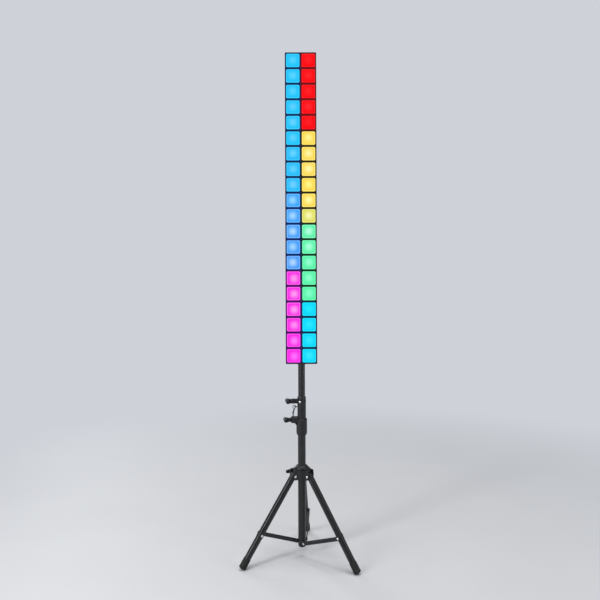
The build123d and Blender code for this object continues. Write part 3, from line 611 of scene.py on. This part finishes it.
LENS_MATERIAL = lens_material()
for node, runs in LENSES.items():
    bm = bmesh.new()
    vectors, colours = bm.verts.layers.float_vector, bm.verts.layers.float_color
    layers = (vectors.new("cell_uv"), colours.new("c_mid"), colours.new("c_edge"),
              vectors.new("spot"))
    for column, first_row, end_row in runs:
        for row in range(first_row, end_row):
            lens_cell(bm, layers, COLUMN_X[column],
                      BAR_MID_Z / MM + ((ROWS - 1) / 2 - row) * CELL,
                      linear(MIDDLE[column][row]), linear(EDGE[column][row]),
                      SPOT.get(node, USUAL_SPOT))
    add_piece(node + "_lit", bm, node, node, [LENS_MATERIAL], body="light_bar")


# ------------------------------------------------------------------ finished copies of CAD parts
def body_of(part):
    """name of the body that a CAD node hangs from"""
    parent = part.parent
    while parent is not None and parent not in BODIES.values():
        parent = parent.parent
    return next((name for name, empty in BODIES.items() if empty == parent), None)


BODY = {name: body_of(part) for name, part in NODES.items()}


def extents(bm):
    return [(min(v.co[i] for v in bm.verts), max(v.co[i] for v in bm.verts)) for i in range(3)]


def soften(bm, width):
    """bevel sharp convex edges; the original is returned if the result would outgrow its box"""
    slack = 0.0002
    untouched = bm.copy()
    before = extents(bm)
    bmesh.ops.dissolve_limit(bm, angle_limit=math.radians(0.6), verts=bm.verts, edges=bm.edges)
    sharp = [e for e in bm.edges if len(e.link_faces) == 2 and e.is_convex
             and e.calc_face_angle(0.0) > math.radians(34.0)]
    if sharp:
        bmesh.ops.bevel(bm, geom=sharp, offset=width * MM, offset_type="OFFSET", segments=2,
                        profile=0.5, affect="EDGES", clamp_overlap=True)
    if len(bm.verts) > 0 and all(new[0] >= old[0] - slack and new[1] <= old[1] + slack
                                 for old, new in zip(before, extents(bm))):
        untouched.free()
        return bm
    bm.free()
    return untouched


def weight_normals(node, mesh):
    """the mesh with face-weighted normals applied"""
    carrier = new_object(node + "_w", mesh)
    modifier = carrier.modifiers.new("w", "WEIGHTED_NORMAL")
    modifier.keep_sharp = True
    modifier.weight = 90
    depsgraph = bpy.context.evaluated_depsgraph_get()
    weighted = bpy.data.meshes.new_from_object(carrier.evaluated_get(depsgraph))
    bpy.data.objects.remove(carrier)
    bpy.data.meshes.remove(mesh)
    weighted.name = node + "_finished"
    return weighted


def finish_copy(node, width, materials=None, steel=None, weighted=False):
    """copy of a CAD node with rounded edges; faces whose centre passes steel() are bright"""
    bm = cad_bmesh(node)
    if width > 0:
        bm = soften(bm, width)
    smooth_sharp(bm)
    materials = materials or [MAT[SLOT_OF[node]]]
    if steel:
        materials = materials + [MAT["bright_steel"]]
        for face in bm.faces:
            face.material_index = 1 if steel(face.calc_center_median() / MM) else 0
    mesh = bake(node + "_finished", bm, materials)
    if weighted:
        mesh = weight_normals(node, mesh)
    place_piece(node + "_finished", mesh, node)


for node in ("column_tube", "mid_tube", "top_tube", "leg_tube_1", "leg_tube_2", "leg_tube_3"):
    finish_copy(node, width=0.0)
for node in ("spreader_hub", "lower_collar", "lower_bush", "leg_hub", "hub_cap", "upper_collar",
             "upper_bush"):
    finish_copy(node, width=0.55, weighted=True)
CLIP_STEEL_FROM = 11.38                      # sideways distance where a clip turns bright
for i, azimuth in LEG_AZIMUTH.items():
    sideways = horizontal_axes(azimuth)[1]
    finish_copy("leg_head_%d" % i, width=0.6, weighted=True)
    finish_copy("leg_clip_%d" % i, width=0.3, weighted=True,
                steel=lambda centre: centre.dot(sideways) > CLIP_STEEL_FROM)
for node in ("hub_pivot_pins", "lower_collar_rivets", "upper_collar_rivets", "bar_screws"):
    finish_copy(node, width=0.25)
# of the spreader pins only the one at the front right has a bright head
PIN_HEAD_FROM = 8.0
right_out, right_side = horizontal_axes(LEG_AZIMUTH[2])
finish_copy("spreader_pins", width=0.25, materials=[MAT["dark_screw"]],
            steel=lambda centre: (centre.dot(right_side) < -PIN_HEAD_FROM
                                  and centre.dot(right_out) > PIN_HEAD_FROM))
for node in ("bar_housing", "top_end_cap", "bottom_end_cap", "rear_panel", "io_sockets",
             "display_window", "power_switch", "pole_socket"):
    finish_copy(node, width=0.3, weighted=True)
finish_copy("front_grid", width=0.0, materials=[MAT["grid"]])


# ------------------------------------------------------------------ knobs
GROOVE_PITCH = 2.6


def clamp01(value):
    return min(1.0, max(0.0, value))


def voxel_bmesh(node):
    """the CAD node as an even, smoothed voxel skin"""
    bm = cad_bmesh(node)
    mesh = bake(node + "_tmp", bm)
    carrier = new_object(node + "_tmp", mesh)
    modifier = carrier.modifiers.new("r", "REMESH")
    modifier.mode = "VOXEL"
    modifier.voxel_size = 0.00055
    evaluated = carrier.evaluated_get(bpy.context.evaluated_depsgraph_get())
    bm = bmesh.new()
    bm.from_mesh(evaluated.to_mesh())
    evaluated.to_mesh_clear()
    bpy.data.objects.remove(carrier)
    bpy.data.meshes.remove(mesh)
    for _ in range(6):
        bmesh.ops.smooth_vert(bm, verts=bm.verts, factor=0.5, use_axis_x=True, use_axis_y=True,
                              use_axis_z=True)
    bm.normal_update()
    return bm


def shape_wings(bm, out, side, root, rim, depth, flatten):
    """turn the plain wings into oval lobes with finger grooves across them"""
    heights = [v.co.z for v in bm.verts]
    mid_z = (max(heights) + min(heights)) / 2
    fullest = root + 0.52 * (rim - root)
    for v in bm.verts:
        x = v.co.dot(out) / MM
        y = v.co.dot(side) / MM
        z = v.co.z - mid_z
        z *= 1 - flatten * clamp01((x - root) / 4.0)
        # thinner towards the rim and towards the stem
        if x > fullest:
            z *= 1 - 0.36 * clamp01((x - fullest) / (rim - fullest)) ** 2
        elif x > root - 2:
            z *= 1 - 0.14 * clamp01((fullest - x) / (fullest - root)) ** 2
        # waist between the wings
        z *= 1 - 0.10 * clamp01(1 - (abs(y) / 7.0) ** 2) * clamp01((x - fullest) / 6.0)
        # grooves on the broad faces, fading out 3 mm wide at each end of the wing
        if abs(v.normal.z) > 0.35:
            grooved = (clamp01((abs(y) - 6.5) / 3.0) * clamp01((x - root - 3.0) / 3.0)
                       * clamp01((rim - 2.0 - x) / 3.0))
            wave = 0.5 + 0.5 * math.cos(2 * math.pi * x / GROOVE_PITCH)
            z -= math.copysign(depth * MM * grooved * wave, z)
        v.co.z = mid_z + z


def knob(node, azimuth, z, boss, tip, root, rim, depth=0.40, flatten=0.13):
    """winged grip from the boss face outwards, on a threaded stud that reaches in to tip
    boss, tip, root and rim are radii from the column axis; the wings run from root to rim"""
    out, side = horizontal_axes(azimuth)
    bm = voxel_bmesh(node)
    shape_wings(bm, out, side, root, rim, depth, flatten)
    # the grip ends just clear of the boss it turns on
    bmesh.ops.bisect_plane(bm, geom=bm.verts[:] + bm.edges[:] + bm.faces[:],
                           plane_co=out * ((boss + 0.1) * MM), plane_no=out, clear_inner=True)
    cut = [e for e in bm.edges if e.is_boundary]
    bmesh.ops.holes_fill(bm, edges=cut, sides=0)
    for face in bm.faces:
        face.smooth = True
    for edge in cut:
        edge.smooth = False
    add_piece(node + "_grip", bm, node, "knob_plastic")

    profile = [(2.7, tip), (3.4, tip + 0.6)]
    along = tip + 1.0
    while along < boss - 0.8:                # one thread per turn of the loop
        profile += [(4.0, along), (4.0, along + 0.3), (3.5, along + 0.62), (3.5, along + 0.9)]
        along += 1.25
    profile += [(4.0, boss - 0.2), (4.0, root + 1.0)]
    bm = bmesh.new()
    lathe(bm, Vector((0, 0, z)) * MM, out, profile, 40)
    add_piece(node + "_stud", bm, node, "knob_plastic", [MAT["bright_steel"]], sharp=32.0)


knob("lower_clamp_knob", azimuth=187, z=447.5, boss=34.8, tip=12.17, root=39.0, rim=59.5)
knob("upper_clamp_knob", azimuth=187, z=508, boss=23.4, tip=11.47, root=33.0, rim=53.0)
knob("hub_lock_knob", azimuth=145, z=272.5, boss=32.8, tip=12.9, root=36.5, rim=55.0,
     depth=0.30, flatten=0.0)
knob("bar_clamp_knob", azimuth=90, z=665, boss=27.4, tip=11.47, root=32.5, rim=52.0)


# ------------------------------------------------------------------ feet
FOOT_END = LEG_LENGTH - 4.0                  # distances here run down the leg from its pivot
RIBS, RIB_PITCH = 5, 4.2
TOE_RADIUS = 6.0


def foot_profile():
    """(radius, distance down the leg): lip, soft ribs, smooth band, rounded toe"""
    profile = [(10.55, FOOT_END - 34.6), (11.0, FOOT_END - 34.9), (11.3, FOOT_END - 34.6),
               (11.5, FOOT_END - 33.6), (11.5, FOOT_END - 32.6)]
    ribs_start = FOOT_END - 31.6
    for k in range(RIBS):
        start = ribs_start + k * RIB_PITCH
        profile += [(10.95, start), (11.55, start + 0.7), (11.78, start + 1.5),
                    (11.78, start + 2.5), (11.55, start + 3.3)]
    start = ribs_start + RIBS * RIB_PITCH
    toe = FOOT_END - TOE_RADIUS
    profile += [(10.95, start + 0.2), (11.6, start + 1.0), (11.8, start + 2.0), (11.8, toe)]
    profile += [(5.8 + TOE_RADIUS * math.cos(math.radians(t)),
                 toe + TOE_RADIUS * math.sin(math.radians(t))) for t in range(15, 91, 15)]
    return profile + [(4.0, FOOT_END - 0.02), (1.2, FOOT_END)]


for i, azimuth in LEG_AZIMUTH.items():
    out = horizontal_axes(azimuth)[0]
    pivot = (out * PIVOT_R + Vector((0, 0, PIVOT_Z))) * MM
    down_leg = out * math.sin(LEG_TILT) - Vector((0, 0, math.cos(LEG_TILT)))
    bm = bmesh.new()
    lathe(bm, pivot, down_leg, foot_profile(), 56)
    for v in bm.verts:                       # sole flat on the floor
        v.co.z = max(v.co.z, 0.0)
    bmesh.ops.remove_doubles(bm, verts=bm.verts, dist=0.00002)
    add_piece("foot_%d_ribbed" % i, bm, "foot_%d" % i, "rubber", sharp=40)


# ------------------------------------------------------------------ braces
SPREADER_R, SPREADER_Z = 16.0, 51.0          # inner end of a brace
CLIP_DISTANCE = 205.0                        # down the leg, from its pivot to the clip
CLIP_R = PIVOT_R + CLIP_DISTANCE * math.sin(LEG_TILT)
CLIP_Z = PIVOT_Z - CLIP_DISTANCE * math.cos(LEG_TILT)
BRACE_LENGTH = math.hypot(CLIP_R - SPREADER_R, CLIP_Z - SPREADER_Z)
BRACE_ANGLE = math.atan2(CLIP_Z - SPREADER_Z, CLIP_R - SPREADER_R)
BRACE_HALF = 6.2
PLAIN_Y = -12.2                              # plain face
PRESSED_Y = PLAIN_Y - 3.0                    # face with the channel and the rivet
# insets of the round ends' centres at the inner and outer end, half width, y
BRACE_LEVELS = [
    (20.0, 22.0, 0.5, PLAIN_Y), (0, 0, BRACE_HALF - 0.4, PLAIN_Y),
    (0, 0, BRACE_HALF - 0.1, PLAIN_Y - 0.12), (0, 0, BRACE_HALF, PLAIN_Y - 0.4),
    (0, 0, BRACE_HALF, PRESSED_Y + 0.4), (0, 0, BRACE_HALF - 0.1, PRESSED_Y + 0.12),
    (0, 0, BRACE_HALF - 0.4, PRESSED_Y), (18.0, 20.0, 2.9, PRESSED_Y),
    (18.0, 20.0, 2.6, PRESSED_Y + 0.15), (18.0, 20.0, 2.1, PRESSED_Y + 0.85),
    (18.0, 20.0, 1.8, PRESSED_Y + 1.0), (20.0, 22.0, 0.5, PRESSED_Y + 1.0)]
# radius, height above the pressed face
RIVET = [(2.0, -0.3), (3.9, -0.02), (3.9, 0.35), (3.65, 0.8), (3.0, 1.2), (1.9, 1.48),
         (0.5, 1.6)]


def stadium(x0, x1, r, arc=14, side=24):
    """outline in (x, z) of a bar with round ends centred on x0 and x1"""
    def round_end(x, start):
        angles = [math.radians(start + 180 * k / arc) for k in range(arc + 1)]
        return [(x + r * math.cos(a), r * math.sin(a)) for a in angles]

    return (round_end(x1, -90) + [(x1 + (x0 - x1) * k / side, r) for k in range(1, side)]
            + round_end(x0, 90) + [(x0 + (x1 - x0) * k / side, -r) for k in range(1, side)])


for i, azimuth in LEG_AZIMUTH.items():
    bm = bmesh.new()
    skin(bm, [[bm.verts.new((x * MM, y * MM, z * MM))
               for x, z in stadium(inset, BRACE_LENGTH - far_inset, half)]
              for inset, far_inset, half, y in BRACE_LEVELS])
    # the bar is oriented before the rivet joins it
    bmesh.ops.recalc_face_normals(bm, faces=bm.faces)
    lathe(bm, Vector((BRACE_LENGTH, PRESSED_Y, 0)) * MM, (0, -1, 0), RIVET, 28, mat=1)
    pose = (Matrix.Rotation(math.radians(azimuth), 4, "Z")
            @ Matrix.Translation(Vector((SPREADER_R, 0, SPREADER_Z)) * MM)
            @ Matrix.Rotation(-BRACE_ANGLE, 4, "Y"))
    add_piece("brace_%d_pressed" % i, bm, "brace_%d" % i, "black_steel",
              [MAT["black_steel"], MAT["bright_steel"]], sharp=30, pose=pose)


# ------------------------------------------------------------------ lanyard, pin and ring
PIN_OUT, PIN_SIDE = horizontal_axes(197.0)
PIN_R = 29.0
RING_R, RING_Z, RING_RADIUS = 25.0, 490, 5.0
# radius, z
PIN_PROFILE = [(0.4, 459.45), (1.2, 459.8), (1.8, 460.5), (2.1, 461.5), (2.1, 463.8),
               (1.75, 464.1), (1.75, 464.7), (2.1, 465.0), (2.1, 468.8), (2.4, 469.9),
               (3.0, 470.3), (3.2, 470.9), (3.2, 472.2), (2.9, 472.8), (2.2, 473.0),
               (0.6, 473.0)]


def pin_plane(r, side, z):
    """point in metres at radius r, sideways and height in the pin's plane"""
    return (PIN_OUT * r + PIN_SIDE * side + Vector((0, 0, z))) * MM


def lanyard():
    """three twisted strands, with a whipping near each end"""
    top, bottom = pin_plane(25.2, 0, 482.6), pin_plane(28.75, 0, 473.6)
    span = bottom - top
    axis = span.normalized()
    u = axis.orthogonal().normalized()
    v = axis.cross(u)
    bm = bmesh.new()
    strands, steps, twist, strand_offset = 3, 40, 2.2, 0.95
    for strand in range(strands):
        points = []
        for k in range(steps + 1):
            t = k / steps
            a = 2 * math.pi * (t * twist + strand / strands)
            points.append(top + span * t + (u * math.cos(a) + v * math.sin(a))
                          * strand_offset * MM)
        sweep(bm, points, 1.0, 12)
    coil_radius, coil_pitch, turn_steps = 1.95, 1.05, 20
    for share, turns in ((0.10, 3), (0.84, 2)):
        points = []
        for k in range(turns * turn_steps + 1):
            a = 2 * math.pi * k / turn_steps
            points.append(top + span * share + (u * math.cos(a) + v * math.sin(a))
                          * coil_radius * MM
                          + axis * ((k / turn_steps - turns / 2) * coil_pitch * MM))
        sweep(bm, points, 0.62, 10)
    add_piece("pin_lanyard_twisted", bm, "pin_lanyard", "cord")


def locking_pin():
    """turned body with a groove and a collar head"""
    bm = bmesh.new()
    lathe(bm, pin_plane(PIN_R, 0, 0), (0, 0, 1), PIN_PROFILE, 36)
    add_piece("locking_pin_turned", bm, "locking_pin", "dark_screw", sharp=40)


def split_ring():
    """one and a half turns of wire, nearly touching"""
    steps, turn_steps, pitch = 72, 48, 1.5
    points = []
    for k in range(steps + 1):
        a = 2 * math.pi * (k / turn_steps) + 0.4
        points.append(pin_plane(RING_R + RING_RADIUS * math.cos(a),
                                -pitch / 2 + pitch * (k / steps),
                                RING_Z + RING_RADIUS * math.sin(a)))
    bm = bmesh.new()
    sweep(bm, points, 1.05, 12)
    add_piece("pin_ring_split", bm, "locking_pin", "dark_screw")


lanyard()
locking_pin()
split_ring()

# ------------------------------------------------------------------ keys
# radius, depth below the rearmost (+Y) point of the key
KEY_PROFILE = [(0.8, 15.0), (1.5, 14.6), (1.5, 6.6), (4.1, 6.4), (4.1, 5.3), (5.6, 5.3),
               (5.6, 3.8), (4.1, 3.8), (4.1, 1.0), (3.95, 0.55), (3.5, 0.28), (2.6, 0.20),
               (1.2, 0.17), (0.3, 0.16)]
# raised marks on each key, outlines in (x, z) from its centre
KEY_MARKS = {
    "up_button": [[(-1.9, -1.2), (1.9, -1.2), (0, 1.9)]],
    "down_button": [[(-1.9, 1.2), (0, -1.9), (1.9, 1.2)]],
    "mode_button": [[(-1.9, low), (1.9, low), (1.9, high), (-1.9, high)]
                    for low, high in ((-0.4, 0.4), (0.9, 1.7), (-1.7, -0.9))],
    "enter_button": [[(1.6 * math.cos(2 * math.pi * k / 16), 1.6 * math.sin(2 * math.pi * k / 16))
                      for k in range(16)]]}
MAT["mark"] = surface("printed_mark", base=(0.55, 0.55, 0.56), rough=0.5, vary=0.1,
                      grain=(1500, 0.1), mottle=90).material


def raised_mark(bm, outline, y0, y1, taper=0.86):
    """plate from y0 to y1, its end at y1 shrunk about its centre"""
    mid_x = sum(x for x, z in outline) / len(outline)
    mid_z = sum(z for x, z in outline) / len(outline)
    base = [bm.verts.new((x * MM, y0 * MM, z * MM)) for x, z in outline]
    top = [bm.verts.new(((mid_x + (x - mid_x) * taper) * MM, y1 * MM,
                         (mid_z + (z - mid_z) * taper) * MM)) for x, z in outline]
    bridge(bm, base, top, mat=1)
    cap(bm, top, mat=1)
    cap(bm, base[::-1], mat=1)


for node, marks in KEY_MARKS.items():
    low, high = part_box(node)
    mid_x, mid_z, rear_y = (low.x + high.x) / 2 / MM, (low.z + high.z) / 2 / MM, high.y / MM
    bm = bmesh.new()
    lathe(bm, Vector((mid_x * MM, 0, mid_z * MM)), (0, 1, 0),
          [(radius, rear_y - depth) for radius, depth in KEY_PROFILE], 40)
    for outline in marks:
        raised_mark(bm, [(mid_x + x, mid_z + z) for x, z in outline], rear_y - 0.3, rear_y - 0.02)
    add_piece(node + "_cap", bm, node, "button_rubber", [MAT["button_rubber"], MAT["mark"]],
              sharp=40)

# ------------------------------------------------------------------ stage
BACKDROP = (0.62, 0.645, 0.69, 1)


def floor_material():
    """pale floor that fades into the backdrop away from the stand"""
    g = Graph("pale_floor")
    place = g.coords()
    cloud = g.noise(place, scale=3.0, detail=3.0)
    scuffs = g.noise(place, scale=40.0, detail=4.0)
    g.shade({"Base Color": g.mix(cloud, (0.63, 0.64, 0.66), (0.68, 0.69, 0.71)),
             "Roughness": g.swing(0.625, scuffs, span=0.15), "Specular IOR Level": 0.2})
    backdrop = g.node("ShaderNodeEmission", {"Color": BACKDROP, "Strength": 1.0})
    distance = g.node("ShaderNodeVectorMath", {0: place}, operation="LENGTH").outputs["Value"]
    blend = g.node("ShaderNodeMixShader", {0: g.ramp(distance, 0.55, 2.8),
                                           1: g.shader.outputs[0], 2: backdrop.outputs[0]})
    g.put(g.output, 0, blend.outputs[0])
    return g.material


def add_floor():
    bm = bmesh.new()
    bmesh.ops.create_circle(bm, cap_ends=True, radius=55.0, segments=128)
    new_object("floor", bake("floor", bm, [floor_material()]))


def add_world():
    """the camera sees the backdrop at full strength, other rays get less of it"""
    world = bpy.data.worlds.new("studio")
    scene.world = world
    world.use_nodes = True
    nodes, links = world.node_tree.nodes, world.node_tree.links
    background = nodes["Background"]
    background.inputs[0].default_value = BACKDROP
    rays = nodes.new("ShaderNodeLightPath")
    strength = nodes.new("ShaderNodeMapRange")
    links.new(rays.outputs["Is Camera Ray"], strength.inputs[0])
    strength.inputs[3].default_value = 0.27
    strength.inputs[4].default_value = 1.0
    links.new(strength.outputs[0], background.inputs[1])


def area_light(name, location, target, size, power):
    light = bpy.data.lights.new(name, "AREA")
    light.shape = "RECTANGLE"
    light.size, light.size_y = size
    light.energy = power
    lamp = new_object(name, light)
    lamp.location = location
    aim = Vector(target) - Vector(location)
    lamp.rotation_euler = aim.to_track_quat("-Z", "Y").to_euler()


def add_camera():
    lens = bpy.data.cameras.new("camera")
    lens.lens = 33.17
    lens.sensor_width = 36.0
    lens.clip_start, lens.clip_end = 0.02, 60
    camera = new_object("camera", lens)
    camera.location = (-0.0042, -1.803, 0.837)
    camera.rotation_euler = Euler((math.radians(90), math.radians(0.20), 0), "XYZ")
    scene.camera = camera


add_floor()
add_world()
area_light("key", location=(-1.9, -1.7, 1.5), target=(0, 0, 0.75), size=(0.45, 2.4), power=44)
area_light("top", location=(0.2, -0.2, 4.4), target=(0, 0, 0.4), size=(3.2, 3.2), power=112)
area_light("fill", location=(2.4, -1.4, 1.3), target=(0, 0, 0.7), size=(0.5, 2.2), power=18)
area_light("rim", location=(-1.6, 2.2, 1.6), target=(0, 0, 0.8), size=(0.6, 2.2), power=20)
add_camera()
scene.view_settings.view_transform = "Standard"
scene.view_settings.look = "None"
